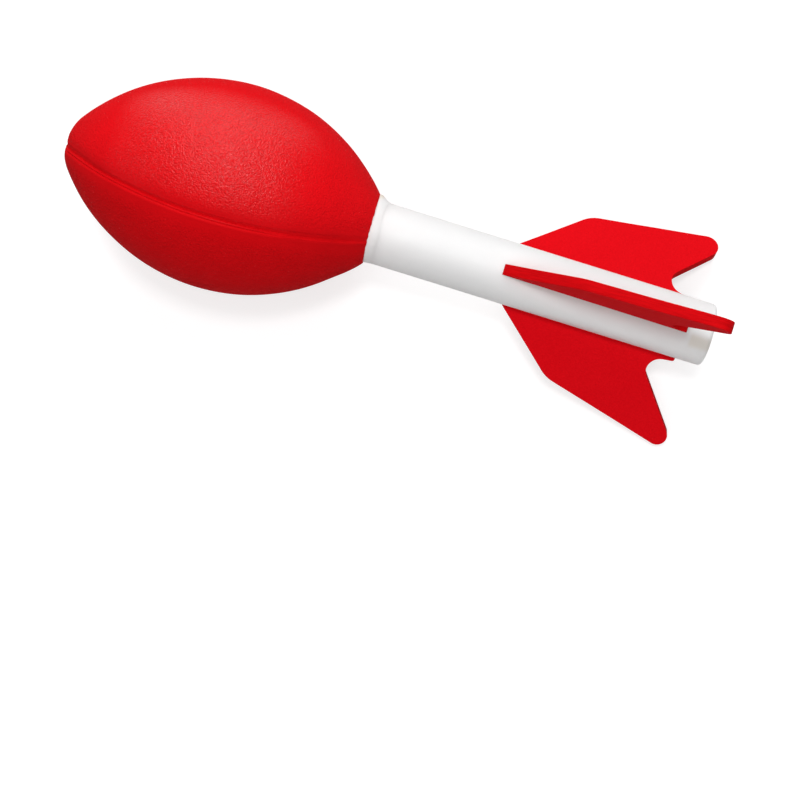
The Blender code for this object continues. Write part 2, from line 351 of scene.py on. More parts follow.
@dataclass(frozen=True)
class MilkyPlastic:
    """Satin, slightly see-through white plastic, drawn along the tube."""

    name: str = "milky_white_plastic"
    base: Colour = (0.90, 0.90, 0.896)
    cloudy: Colour = (0.875, 0.875, 0.876)
    cloud: float = 0.010
    cloud_span: Span = (0.3, 0.75)
    # A warm beige shadow of the top fin's tip, painted on the tube behind it
    painted_fin_shadow: Colour = (0.80, 0.755, 0.685)
    fin_shadow_start: float = 0.0738
    fin_shadow_side: float = -0.0030
    fin_shadow_reach: float = 0.0020
    fin_shadow_core: float = 0.3
    fin_shadow_fade: float = 0.001
    fin_shadow_fray: float = 0.0015
    fin_shadow_rise: float = 0.003
    fin_shadow_tone: float = 0.8
    draw_width: float = 0.0009
    draw_length: float = 0.030
    draw_height: float = 0.7
    scuff: float = 0.0006
    scuff_height: float = 0.3
    relief: float = 0.000010
    roughness: float = 0.48
    cloud_roughness: float = 0.10
    scuff_roughness: float = 0.08
    specular: float = 0.40
    glow: float = 0.55
    glow_reach: float = 0.0030

    def build(self, to_ball: Matrix) -> bpy.types.Material:
        """Makes the material.

        Args:
            to_ball: Turns a point of the world into a point of the ball's frame.

        Returns:
            The finished material.
        """
        graph = Graph(self.name)
        place = graph.place()
        inside = graph.add("ShaderNodeMapping", None, {
            "Vector": place, "Location": to_ball.to_translation(), "Rotation": to_ball.to_euler()})
        drawn = graph.add("ShaderNodeMapping", None, {
            "Vector": inside, "Scale": (self.draw_width / self.draw_length, 1.0, 1.0)})
        lines = graph.noise(drawn, self.draw_width, 2.0)
        clouds = graph.noise(place, self.cloud, 3.0)
        scuffs = graph.noise(place, self.scuff, 4.0)
        colour = graph.blend(graph.ease(clouds, *self.cloud_span), self.base, self.cloudy)
        # Painted shadow of the top fin's tip on the tube
        colour = graph.blend(self._fin_shadow_share(graph, inside, clouds), colour, self.painted_fin_shadow)
        roughness = self.roughness + (clouds - 0.5) * self.cloud_roughness
        roughness += (scuffs - 0.5) * self.scuff_roughness
        height = lines * self.draw_height + scuffs * self.scuff_height
        return graph.surface(colour, roughness, height, self.relief, {
            "Specular IOR Level": self.specular, "Subsurface Weight": self.glow,
            "Subsurface Scale": self.glow_reach, "Subsurface Radius": (1.0, 1.0, 1.0)})

    def _fin_shadow_share(self, graph: Graph, inside: Socket, clouds: Socket) -> Socket:
        """Painted shadow of the top fin's tip on the tube, in warm beige, behind the top fin and to one side
        of it.

        Args:
            graph: The material's nodes.
            inside: The point in the ball's frame.
            clouds: A soft pattern that frays the painted shadow's edge.

        Returns:
            The share of the painted shadow, from 0 to 1.
        """
        along, aside, up = (graph.add("ShaderNodeSeparateXYZ", None, {0: inside}, axis) for axis in "XYZ")
        off = graph.add("ShaderNodeMath", {"operation": "ABSOLUTE"}, {0: aside - self.fin_shadow_side})
        near = graph.ease(off, self.fin_shadow_core * self.fin_shadow_reach, self.fin_shadow_reach, 1.0, 0.0)
        above = graph.ease(up, 0.0, self.fin_shadow_rise)
        frayed = along + (clouds - 0.5) * self.fin_shadow_fray
        behind = graph.ease(frayed, self.fin_shadow_start, self.fin_shadow_start + self.fin_shadow_fade)
        return behind * near * above * self.fin_shadow_tone


@dataclass(frozen=True)
class DriedGlue:
    """Hot glue that has set: cream where it is thick, almost white where it is thin."""

    thin: Colour = (0.89, 0.889, 0.885)
    thick: Colour = (0.80, 0.72, 0.62)
    thin_height: float = 0.0006
    thick_height: float = 0.0013
    ripple: float = 0.0011
    ripple_fray: float = 0.0003
    relief: float = 0.00004
    roughness: float = 0.40
    ripple_roughness: float = 0.15
    specular: float = 0.35
    glow: float = 0.15
    glow_reach: float = 0.0006
    glow_tint: Colour = (1.0, 0.97, 0.94)

    def build(self) -> bpy.types.Material:
        """Makes the material.

        Returns:
            The finished material, which reads one attribute of the collar's mesh.
        """
        graph = Graph("set_glue")
        place = graph.place()
        ripples = graph.noise(place, self.ripple, 2.0)
        depth = graph.attribute("glue_height") + ripples * self.ripple_fray
        colour = graph.blend(graph.ease(depth, self.thin_height, self.thick_height), self.thin, self.thick)
        roughness = self.roughness + ripples * self.ripple_roughness
        return graph.surface(colour, roughness, ripples, self.relief, {
            "Specular IOR Level": self.specular, "Subsurface Weight": self.glow,
            "Subsurface Scale": self.glow_reach, "Subsurface Radius": self.glow_tint})


@dataclass(frozen=True)
class PaleFloor:
    """A plain pale floor that reads as white and keeps a soft shadow.

    Attributes:
        colour: Its grey level for the light that it throws back on the ball.
        lift: The white that the camera sees whatever the light.
        shade: The grey level that the camera sees the shadow on.
    """

    colour: float = 0.58
    lift: float = 0.66
    shade: float = 0.45

    def build(self) -> bpy.types.Material:
        """Makes the material.

        Returns:
            The finished material.
        """
        graph = Graph("pale_floor")
        paint = graph.add("ShaderNodeBsdfDiffuse", None, {"Color": (self.colour,) * 3 + (1.0,)})
        dim = graph.add("ShaderNodeBsdfDiffuse", None, {"Color": (self.shade,) * 3 + (1.0,)})
        white = graph.add("ShaderNodeEmission", None, {"Color": (1.0, 1.0, 1.0, 1.0), "Strength": self.lift})
        shown = graph.add("ShaderNodeAddShader", None, {0: dim, 1: white})
        seen = [graph.add("ShaderNodeLightPath", output=f"Is {kind} Ray")
                for kind in ("Camera", "Glossy", "Transmission")]
        share = graph.add("ShaderNodeMath", {"operation": "MAXIMUM"}, {0: seen[0] + seen[1], 1: seen[2]})
        return graph.finished(graph.add("ShaderNodeMixShader", None, {0: share, 1: paint, 2: shown}))


def arc_points(centre: Point2D, radius: float, start: float, end: float, steps: int) -> list[Point2D]:
    """Points along an arc in a plane, one more than the steps between its two angles."""
    angles = [start + (end - start) * step / steps for step in range(steps + 1)]
    return [(centre[0] + radius * math.cos(angle), centre[1] + radius * math.sin(angle)) for angle in angles]


def rounded_corner(before: Vector, corner: Vector, after: Vector, rounding: float) -> list[Point2D]:
    """The arc that rounds a corner of an outline.

    Args:
        before: The corner before it.
        corner: The corner itself.
        after: The corner after it.
        rounding: The arc's radius.

    Returns:
        The points of the arc, in the order of the corners.
    """
    back, ahead = (before - corner).normalized(), (after - corner).normalized()
    half = math.acos(back.dot(ahead)) / 2
    centre = corner + (back + ahead).normalized() * (rounding / math.sin(half))
    first = corner + back * (rounding / math.tan(half)) - centre
    side = 1.0 if back.x * ahead.y - back.y * ahead.x < 0.0 else -1.0
    start = math.atan2(first.y, first.x)
    turn = side * (math.pi - 2.0 * half)
    return arc_points(centre, rounding, start, start + turn, max(3, round(abs(turn) * rounding / ARC_STEP)))


def add_object(name: str, data: bpy.types.ID) -> bpy.types.Object:
    """Adds an object to the scene.

    Args:
        name: The object's name.
        data: Its mesh, lamp or camera.

    Returns:
        The new object.
    """
    thing = bpy.data.objects.new(name, data)
    bpy.context.scene.collection.objects.link(thing)
    return thing


def ease(value: float, low: float, high: float) -> float:
    """Goes smoothly from 0, where the value is low or less, to 1, where it is high or more."""
    share = min(max((value - low) / (high - low), 0.0), 1.0)
    return share * share * (3.0 - 2.0 * share)


def along_section(section: Sequence[Point2D], distance: float) -> float:
    """The height of a section at a distance, eased from one of its points to the next.

    Args:
        section: Points of (distance, height), with rising distances.
        distance: Where to read it.

    Returns:
        The height there, or the end points' heights beyond them.
    """
    if distance <= section[0][0]:
        return section[0][1]
    for (near, low), (far, high) in zip(section, section[1:]):
        if distance <= far:
            return low + (high - low) * ease(distance, near, far)
    return section[-1][1]


def spun(profile: Sequence[Point2D], sweeps: Sequence[tuple[float, int]], start: float = 0.0,
         closed: bool = False, axis: Vector = TUBE_AXIS) -> bmesh.types.BMesh:
    """Spins a profile once round an axis.

    Args:
        profile: Points of (X, Z), which for the tube's axis are (place along it, radius).
        sweeps: Turns that follow each other, as (angle, steps), and make a full circle.
        start: The angle round the tube where the first turn starts.
        closed: Whether the profile's last point joins its first.
        axis: The axis, through the origin.

    Returns:
        A mesh with its faces pointing out, if it is closed.
    """
    shape = bmesh.new()
    points = [shape.verts.new((along, 0.0, radius)) for along, radius in profile]
    edges = [shape.edges.new(pair) for pair in zip(points, points[1:])]
    if closed:
        edges.append(shape.edges.new((points[-1], points[0])))
    whole = len(sweeps) == 1
    bmesh.ops.rotate(shape, verts=points, cent=Vector(), matrix=Matrix.Rotation(-start, 3, "X"))
    edge_of_spin = points + edges
    for angle, steps in sweeps:
        turned = bmesh.ops.spin(shape, geom=edge_of_spin, cent=Vector(), axis=axis, angle=-angle,
                                steps=steps, use_merge=whole, use_duplicate=False)
        edge_of_spin = turned["geom_last"]
    bmesh.ops.remove_doubles(shape, verts=shape.verts, dist=MERGE)
    bmesh.ops.recalc_face_normals(shape, faces=shape.faces)
    return shape


def angle_round_tube(point: Vector) -> float:
    """The angle of a point round the tube, from the top fin towards +Y."""
    return math.atan2(point.y, point.z)


def foam_edge(point: Vector) -> float:
    """How far the foam's wavy rear face stands out along the tube.

    Args:
        point: A point, of which only the angle round the tube counts.

    Returns:
        The place along the tube, behind the foam's packed rear face.
    """
    outward = Vector((0.0, point.y, point.z)).normalized()
    waves = sum(noise.noise(outward * count) * height for count, height in EDGE_WAVES)
    return EDGE_MIDDLE - EDGE_LEAN * outward.y + waves


@dataclass(frozen=True)
class BallFrame:
    """Where the ball's own frame lies in the world.

    Attributes:
        matrix: Turns a point of the ball's frame into a point of the world.
        tube_radius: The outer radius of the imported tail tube.
        tube_reach: From the foam's rear face to the tail end.
    """

    matrix: Matrix
    tube_radius: float
    tube_reach: float

    @classmethod
    def read(cls) -> "BallFrame":
        """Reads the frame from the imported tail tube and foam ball.

        Returns:
            The ball's frame.
        """
        axis = Vector(next(m["axis"] for m in frame["record"]["mounts"] if m["name"] == "tail_rim"))
        turn = Matrix.Rotation(math.asin(-axis.z), 4, "Y")
        tube_low, tube_high = cls._extent(frame["nodes"]["tail_tube"], turn)
        _, foam_high = cls._extent(frame["nodes"]["foam_football"], turn)
        middle = (tube_low + tube_high) / 2
        origin = Vector((foam_high.x, middle.y, middle.z))
        radius, reach = (tube_high.y - tube_low.y) / 2, tube_high.x - foam_high.x
        return cls(turn @ Matrix.Translation(origin), radius, reach)

    @staticmethod
    def _extent(node: bpy.types.Object, turn: Matrix) -> tuple[Vector, Vector]:
        """The lowest and highest corner of a node in a turned frame.

        Args:
            node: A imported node.
            turn: The frame's turn from the world.

        Returns:
            The two corners, in that frame.
        """
        back = turn.inverted()
        points = [back @ vertex.co for vertex in node.data.vertices]
        low = Vector([min(point[axis] for point in points) for axis in range(3)])
        high = Vector([max(point[axis] for point in points) for axis in range(3)])
        return low, high

    def seat(self, name: str, shape: bmesh.types.BMesh, materials: Sequence[bpy.types.Material], node: str,
             slot: str, sharp: float = math.radians(40)) -> bpy.types.Object:
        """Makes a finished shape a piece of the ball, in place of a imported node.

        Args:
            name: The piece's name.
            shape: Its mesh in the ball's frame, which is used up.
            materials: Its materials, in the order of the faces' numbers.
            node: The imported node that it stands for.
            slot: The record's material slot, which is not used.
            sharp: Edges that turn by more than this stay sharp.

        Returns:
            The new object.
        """
        mesh = bpy.data.meshes.new(name)
        shape.transform(self.matrix)
        shape.to_mesh(mesh)
        shape.free()
        mesh.shade_smooth()
        mesh.set_sharp_from_angle(angle=sharp)
        for material in materials:
            mesh.materials.append(material)
        piece = add_object(name, mesh)
        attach(piece, BODY)
        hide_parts(node)
        log.info("%s: %d faces, stands for %s", name, len(mesh.polygons), node)
        return piece


@dataclass
class FoamFootball:
    """The moulded foam ball, which sits a little askew on its tube.

    Two arcs, which meet at the widest place, make its side, and a smaller arc rounds the nose. The
    course of the parting line is given as (along the tube, across the seam's plane), and its
    sections as (distance above the seam, height of the skin).
    """

    widest: float = -0.0326
    front_length: float = 0.03705
    radius: float = 0.02324
    nose_radius: float = 0.0103
    rear_radius: float = 0.0078
    lip_rounding: float = 0.00022
    askew: float = math.radians(0.98)
    rear_shift: float = 0.00027
    socket_clearance: float = 0.00006
    socket_depth: float = 0.0406
    seam_angle: float = math.radians(-24.8)
    seam_band: float = math.radians(9.6)
    band_steps: int = 46
    open_steps: int = 110
    rear_steps: int = 92
    front_steps: int = 92
    nose_steps: int = 30
    lip_steps: int = 4
    lump_size: float = 0.011
    lump_height: float = 0.00007
    lower_nose: float = 0.00016
    lower_nose_side: Span = (0.0, 0.002)
    lower_nose_end: Span = (0.050, 0.064)
    edge_fade: float = 0.0060
    edge_calm: float = 0.5
    # The share of the lower half's painted shade that steps in at the seam; the rest fades out above it
    lower_shade_step: float = 0.55
    polished_side: float = math.radians(12)
    polished_width: Span = (math.radians(18), math.radians(43))
    polished_middle: float = -0.0350
    polished_length: Span = (0.012, 0.0245)
    most_turn: float = 0.3

    SEAM_COURSE = ((-0.0700, -0.00085), (-0.0640, -0.00046), (-0.0550, -0.00050), (-0.0360, -0.00094),
                   (0.0, -0.00098))
    LOWER_LIP = (
        (-0.0080, 0.0), (-0.0041, 0.00006), (-0.0013, 0.00012), (-0.00069, 0.00014), (-0.00041, 0.00008),
        (-0.00017, -0.00026), (0.00009, -0.00012),
    )
    SEAM_SECTION = LOWER_LIP + (
        (0.00021, -0.00016), (0.00041, -0.00064), (0.0008, -0.00045), (0.0014, -0.00016), (0.0023, -0.00003),
        (0.0031, 0.0),
    )
    NOSE_SECTION = LOWER_LIP + (
        (0.00021, -0.00018), (0.00041, -0.00070), (0.0009, -0.00062), (0.0018, -0.00020), (0.0032, 0.0),
    )
    REAR_SECTION = (
        (-0.0080, 0.0), (-0.0041, 0.00004), (-0.0013, 0.00008), (-0.0006, 0.00010), (-0.0001, 0.00006),
        (0.00028, -0.00050), (0.0009, -0.00036), (0.0017, -0.00003), (0.0027, 0.0),
    )
    NOSE_BLEND = (-0.067, -0.057)
    REAR_BLEND = (-0.022, -0.014)
    TIP_BLEND = (0.0678, 0.0692)
    TIP_SHARE = 0.45
    # Where the lower half's painted shade steps in at the seam, and where it fades out above it
    LOWER_SHADE_STEP_BAND = (-0.0008, 0.0016)
    LOWER_SHADE_FADE_BAND = (0.0, 0.009)

    def skin_profile(self) -> list[Point2D]:
        """The ball's side from the rear lip to the nose, as (along, radius).

        Returns:
            The points of the lip and of the three arcs.
        """
        rise = self.radius - self.rear_radius
        rear_arc = (self.widest ** 2 + rise ** 2) / (2 * rise)
        rear = math.asin(-self.widest / rear_arc)
        nose_centre = self.front_length - self.nose_radius
        front_arc = ((nose_centre ** 2 + self.radius ** 2 - self.nose_radius ** 2)
                     / (2 * (self.radius - self.nose_radius)))
        blend = math.atan2(front_arc - self.radius, nose_centre)
        top = math.pi / 2
        lip_centre = (-self.lip_rounding * math.sin(rear),
                      self.rear_radius - self.lip_rounding * math.cos(rear))
        lip = arc_points(lip_centre, self.lip_rounding, 0.0, top - rear, self.lip_steps)
        side = arc_points((self.widest, self.radius - rear_arc), rear_arc, top - rear, top, self.rear_steps)
        side += arc_points((self.widest, self.radius - front_arc), front_arc, top, math.pi - blend,
                           self.front_steps)[1:]
        nose = arc_points((self.widest - nose_centre, 0.0), self.nose_radius, math.pi - blend, math.pi,
                          self.nose_steps)
        nose[-1] = (nose[-1][0], 0.0)
        return lip + side[1:] + nose[1:]

    def build(self, ball: BallFrame, skin: bpy.types.Material) -> bpy.types.Object:
        """Builds the ball.

        Args:
            ball: The ball's frame.
            skin: The foam's material.

        Returns:
            The finished piece.
        """
        bore = ball.tube_radius + self.socket_clearance
        side = self.skin_profile()
        outline = [(-self.socket_depth, 0.0), (-self.socket_depth, bore), (side[0][0], bore)] + side
        sweeps = ((self.seam_band, self.band_steps), (math.pi - self.seam_band, self.open_steps)) * 2
        shape = spun(outline, sweeps, self.seam_angle - self.seam_band / 2)
        self._relieve(shape, bore + self.lip_rounding / 4)
        piece = ball.seat("moulded_foam_ball", shape, (skin,), "foam_football", "red_foam")
        return piece

    def _relieve(self, shape: bmesh.types.BMesh, bore: float) -> None:
        """Presses the parting line and the skin's soft lumps into the ball, and sets it askew.

        Args:
            shape: The ball's mesh, which is changed.
            bore: Points within this radius belong to the socket and stay.
        """
        gap = shape.verts.layers.float.new("seam_distance")
        sheen = shape.verts.layers.float.new("polish")
        # The painted shade on the lower half, which the skin's material reads
        shade_below = shape.verts.layers.float.new("lower_half_shade")
        across = Vector((0.0, math.cos(self.seam_angle), -math.sin(self.seam_angle)))
        for vertex in shape.verts:
            self._follow_seam(vertex.co)
        shape.normal_update()
        moves = []
        for vertex in shape.verts:
            place = vertex.co
            rear = ease(place.x, -self.edge_fade, 0.0)
            step = Vector((rear * foam_edge(place), 0.0, 0.0))
            if math.hypot(place.y, place.z) <= bore and place.x > -self.socket_depth - MERGE:
                vertex[gap] = 1.0
                moves.append((vertex, step))
                continue
            distance = place.dot(across) - along_section(self.SEAM_COURSE, place.x)
            vertex[gap] = abs(distance)
            vertex[sheen] = self._polish(place)
            # Painted shade, from the seam down
            vertex[shade_below] = self._lower_half_shade_share(distance)
            relief = self._seam_relief(place.x, distance)
            lumps = noise.noise(place / self.lump_size) * self.lump_height
            low_nose = ease(-distance, *self.lower_nose_side) * ease(-place.x, *self.lower_nose_end)
            relief += self.lower_nose * low_nose
            move = vertex.normal * (relief + lumps) * (1.0 - self.edge_calm * rear) + step
            move.y += self.rear_shift + math.tan(self.askew) * place.x
            moves.append((vertex, move))
        for vertex, move in moves:
            vertex.co += move

    def _seam_relief(self, along: float, distance: float) -> float:
        """How far the skin stands out beside the parting line.

        Args:
            along: The place along the tube.
            distance: The distance across the seam, above it or, if negative, below it.

        Returns:
            The height, from the three sections, each of which eases into the next.
        """
        nose = 1.0 - ease(along, *self.NOSE_BLEND)
        rear = ease(along, *self.REAR_BLEND)
        shares = ((self.NOSE_SECTION, nose), (self.SEAM_SECTION, 1.0 - nose - rear),
                  (self.REAR_SECTION, rear))
        whole = sum(along_section(section, distance) * share for section, share in shares)
        return whole * (1.0 - (1.0 - self.TIP_SHARE) * ease(-along, *self.TIP_BLEND))

    def _lower_half_shade_share(self, distance: float) -> float:
        """The share of the lower half's painted shade, from 1 below the seam to 0 well above it."""
        step = self.lower_shade_step * ease(distance, *self.LOWER_SHADE_STEP_BAND)
        return 1.0 - step - (1.0 - self.lower_shade_step) * ease(distance, *self.LOWER_SHADE_FADE_BAND)

    def _polish(self, place: Vector) -> float:
        """How far use has polished the skin.

        Args:
            place: A point of the skin.

        Returns:
            The polish, from 0 to 1.
        """
        off_side = abs(angle_round_tube(place) - self.polished_side)
        off_middle = abs(place.x - self.polished_middle)
        return (1.0 - ease(off_side, *self.polished_width)) * (1.0 - ease(off_middle, *self.polished_length))

    def _follow_seam(self, place: Vector) -> None:
        """Turns a point round the tube, so that the mesh's finest columns lie along the seam.

        Args:
            place: The point, which is changed.
        """
        radius = math.hypot(place.y, place.z)
        if radius < MERGE:
            return
        aside = along_section(self.SEAM_COURSE, place.x) / radius
        turn = math.asin(min(max(aside, -self.most_turn), self.most_turn))
        lag = turn * math.cos(angle_round_tube(place) - self.seam_angle)
        place.rotate(Matrix.Rotation(-lag, 3, "X"))


@dataclass
class TailTube:
    """The plastic tail tube, open at the tail, with a rounded rim."""

    wall: float = 0.0016
    depth: float = 0.0380
    rim: float = 0.0008
    inner_rim: float = 0.0004
    longer: float = 0.0003
    askew_cut: float = 0.045
    cut_fade: float = 0.003
    rim_steps: int = 8
    inner_rim_steps: int = 5
    columns: int = 160
    rows: int = 24

    def build(self, ball: BallFrame, plastic: bpy.types.Material) -> bpy.types.Object:
        """Builds the tube.

        Args:
            ball: The ball's frame.
            plastic: The tube's material.

        Returns:
            The finished piece.
        """
        outer, end = ball.tube_radius, ball.tube_reach
        bore = outer - self.wall
        profile = [(end - self.rim - (end - self.rim + self.depth) * row / self.rows, outer)
                   for row in range(1, self.rows + 1)]
        profile += [(-self.depth, bore)]
        profile += arc_points((end - self.inner_rim, bore + self.inner_rim), self.inner_rim,
                              1.5 * math.pi, 2.0 * math.pi, self.inner_rim_steps)
        profile += arc_points((end - self.rim, outer - self.rim), self.rim, 0.0, math.pi / 2,
                              self.rim_steps)
        shape = spun(profile, ((2.0 * math.pi, self.columns),), closed=True)
        for vertex in shape.verts:
            near_end = ease(vertex.co.x, end - self.cut_fade, end - self.rim)
            vertex.co.x += near_end * (self.longer - self.askew_cut * vertex.co.y)
        return ball.seat("milky_tail_tube", shape, (plastic,), "tail_tube", "white_plastic")


@dataclass
class NeckGlue:
    """The collar of glue in the corner behind the foam: a low bead with one thick flare."""

    clearance: float = 0.00003
    thick_side: float = math.radians(86)
    flare_height: float = 0.00130
    flare_length: float = 0.0028
    bead_height: float = 0.00012
    bead_length: float = 0.0020
    spread: float = 9.0
    ripple_size: float = 0.0035
    ripple: float = 0.22
    columns: int = 144

    SECTION = ((0.0, 0.0), (0.0, 0.94), (0.04, 1.0), (0.14, 0.96), (0.28, 0.82), (0.42, 0.62), (0.56, 0.41),
               (0.70, 0.22), (0.85, 0.07), (1.0, 0.0))

    def build(self, ball: BallFrame, glue: bpy.types.Material) -> bpy.types.Object:
        """Builds the collar.

        Args:
            ball: The ball's frame.
            glue: The glue's material.

        Returns:
            The finished piece.
        """
        seat = ball.tube_radius + self.clearance
        unit = [(along, 1.0 + height) for along, height in self.SECTION]
        shape = spun(unit, ((2.0 * math.pi, self.columns),), closed=True)
        depth = shape.verts.layers.float.new("glue_height")
        for vertex in shape.verts:
            radial = Vector((0.0, vertex.co.y, vertex.co.z))
            height = radial.length - 1.0
            radial.normalize()
            off_side = angle_round_tube(radial) - self.thick_side
            share = ((1.0 + math.cos(off_side)) / 2) ** self.spread
            swell = 1.0 + self.ripple * noise.noise(radial * seat / self.ripple_size)
            height *= (self.bead_height + (self.flare_height - self.bead_height) * share) * swell
            length = (self.bead_length + (self.flare_length - self.bead_length) * share) * swell
            along = foam_edge(radial) + self.clearance + vertex.co.x * length
            vertex[depth] = height
            vertex.co = radial * (seat + height) + Vector((along, 0.0, 0.0))
        return ball.seat("neck_glue_collar", shape, (glue,), "neck_glue_bead", "dried_glue")


class FinPlace(Enum):
    """The three fins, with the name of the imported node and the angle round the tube."""

    TOP = ("top_fin", 0.0)
    RIGHT = ("right_fin", math.radians(120))
    LEFT = ("left_fin", math.radians(-120))


@dataclass
class Fin:
    """One fin, cut from foam sheet, as its corners before they are rounded.

    Each corner is (place along the tube, radius) in the fin's own plane.
    """

    where: FinPlace
    front: float = 0.0326
    shoulder: Point2D = (0.0474, 0.0213)
    tip: Point2D = (0.08317, 0.0297)
    notch: Point2D = (0.06622, 0.0090)
    tang: Point2D = (0.0738, 0.0080)
    thickness: float = 0.0023
    root_clearance: float = 0.00004
    shoulder_rounding: float = 0.0070
    tip_rounding: float = 0.0027
    notch_rounding: float = 0.0032
    small_rounding: float = 0.0005
    root_rounding: float = 0.0001
    edge_rounding: float = 0.00026
    grid: float = 0.0009
    bow: float = 0.0
    aside_front: float = 0.0
    aside_rear: float = 0.0
    ripple_size: float = 0.013
    ripple: float = 0.00012
    flat_normal: float = 0.999

    def build(self, ball: BallFrame, side: bpy.types.Material, cut: bpy.types.Material) -> bpy.types.Object:
        """Builds the fin.

        Args:
            ball: The ball's frame.
            side: The material of the flat sides.
            cut: The material of the cut edge.

        Returns:
            The finished piece.
        """
        root = ball.tube_radius + self.root_clearance
        shape = self._sheet(root)
        self._thicken(shape)
        self._bend(shape, root)
        node, angle = self.where.value
        bmesh.ops.rotate(shape, verts=shape.verts, cent=Vector(), matrix=Matrix.Rotation(-angle, 3, "X"))
        return ball.seat(node + "_sheet", shape, (side, cut), node, "red_sheet", math.radians(50))

    def _sheet(self, root: float) -> bmesh.types.BMesh:
        """The fin's flat outline with its corners rounded, cut into a grid so that it can bend.

        Args:
            root: The radius that the fin stands on.

        Returns:
            A flat mesh.
        """
        corners = (
            (Vector((self.front, root)), self.root_rounding),
            (Vector(self.shoulder), self.shoulder_rounding),
            (Vector(self.tip), self.tip_rounding),
            (Vector(self.notch), self.notch_rounding),
            (Vector(self.tang), self.small_rounding),
            (Vector((self.tang[0], root)), self.root_rounding),
        )
        shape = bmesh.new()
        outline = []
        for index, (corner, rounding) in enumerate(corners):
            before, after = corners[index - 1][0], corners[(index + 1) % len(corners)][0]
            for along, radius in rounded_corner(before, corner, after, rounding):
                outline.append(shape.verts.new((along, 0.0, radius)))
        shape.faces.new(outline)
        for axis in (0, 2):
            low = min(vertex.co[axis] for vertex in shape.verts)
            high = max(vertex.co[axis] for vertex in shape.verts)
            normal = Vector([1.0 if index == axis else 0.0 for index in range(3)])
            for line in range(1, int((high - low) / self.grid)):
                everything = shape.verts[:] + shape.edges[:] + shape.faces[:]
                bmesh.ops.bisect_plane(shape, geom=everything, dist=MERGE,
                                       plane_co=normal * (low + line * self.grid), plane_no=normal)
        return shape

    def _thicken(self, shape: bmesh.types.BMesh) -> None:
        """Gives the sheet its thickness, and softens the rims of its cut edge.

        Args:
            shape: The flat sheet, which is changed.
        """
        flat = shape.faces[:]
        grown = bmesh.ops.extrude_face_region(shape, geom=flat)
        lifted = [item for item in grown["geom"] if isinstance(item, bmesh.types.BMVert)]
        bmesh.ops.translate(shape, verts=lifted, vec=(0.0, self.thickness, 0.0))
        bmesh.ops.translate(shape, verts=shape.verts, vec=(0.0, -self.thickness / 2, 0.0))
        bmesh.ops.recalc_face_normals(shape, faces=shape.faces)
        shape.normal_update()
        rims = [edge for edge in shape.edges
                if len({abs(face.normal.y) > 0.5 for face in edge.link_faces}) == 2]
        bmesh.ops.bevel(shape, geom=rims, offset=self.edge_rounding, offset_type="OFFSET", affect="EDGES",
                        segments=3, profile=0.5, material=-1, clamp_overlap=True)
        shape.normal_update()
        for face in shape.faces:
            face.material_index = 0 if abs(face.normal.y) > self.flat_normal else 1

    def _bend(self, shape: bmesh.types.BMesh, root: float) -> None:
        """Bows the free side of the fin, and hollows its root to lie on the tube.

        Args:
            shape: The fin's mesh, which is changed.
            root: The radius that the fin stands on.
        """
        through = shape.verts.layers.float.new("through_sheet")
        for vertex in shape.verts:
            place = vertex.co
            vertex[through] = place.y
            free = max(place.z - root, 0.0) / (self.tip[1] - root)
            spot = Vector((place.x, self.where.value[1], place.z))
            waves = noise.noise(spot / self.ripple_size) * self.ripple
            if place.z < root + self.edge_rounding:
                place.z = math.sqrt(place.z ** 2 - place.y ** 2)
            along = (place.x - self.front) / (self.tip[0] - self.front)
            aside = self.aside_front + (self.aside_rear - self.aside_front) * along
            place.y += self.bow * free ** 2 + waves * min(1.0, 2.0 * free) + aside


@dataclass(frozen=True)
class Softbox:
    """A square lamp that faces the ball.

    Attributes:
        name: The lamp's name.
        heading: Where it stands in the picture, clockwise from the picture's top.
        lean: How far it leans away from the camera's line.
        distance: From the ball.
        side: The length of its side.
        level: The light that it alone would give a white surface that faces it.
        shines: Whether it shows as a shine on the ball, which a fill light doesn't.
    """

    name: str
    heading: float
    lean: float
    distance: float
    side: float
    level: float
    shines: bool = True

    def build(self, axes: Matrix, target: Vector) -> None:
        """Makes the lamp.

        Args:
            axes: The camera's right, up and back directions as columns.
            target: The point that the lamp faces.
        """
        light = bpy.data.lights.new(self.name, "AREA")
        light.shape = "SQUARE"
        light.size = self.side
        light.energy = self.level * math.pi ** 2 * self.distance ** 2
        lamp = add_object(self.name, light)
        outward = Vector((math.sin(self.heading), math.cos(self.heading), 0.0)) * math.sin(self.lean)
        away = axes @ (outward + UP * math.cos(self.lean))
        lamp.location = target + away * self.distance
        lamp.rotation_mode = "QUATERNION"
        lamp.rotation_quaternion = away.to_track_quat("Z", "Y")
        lamp.visible_glossy = self.shines


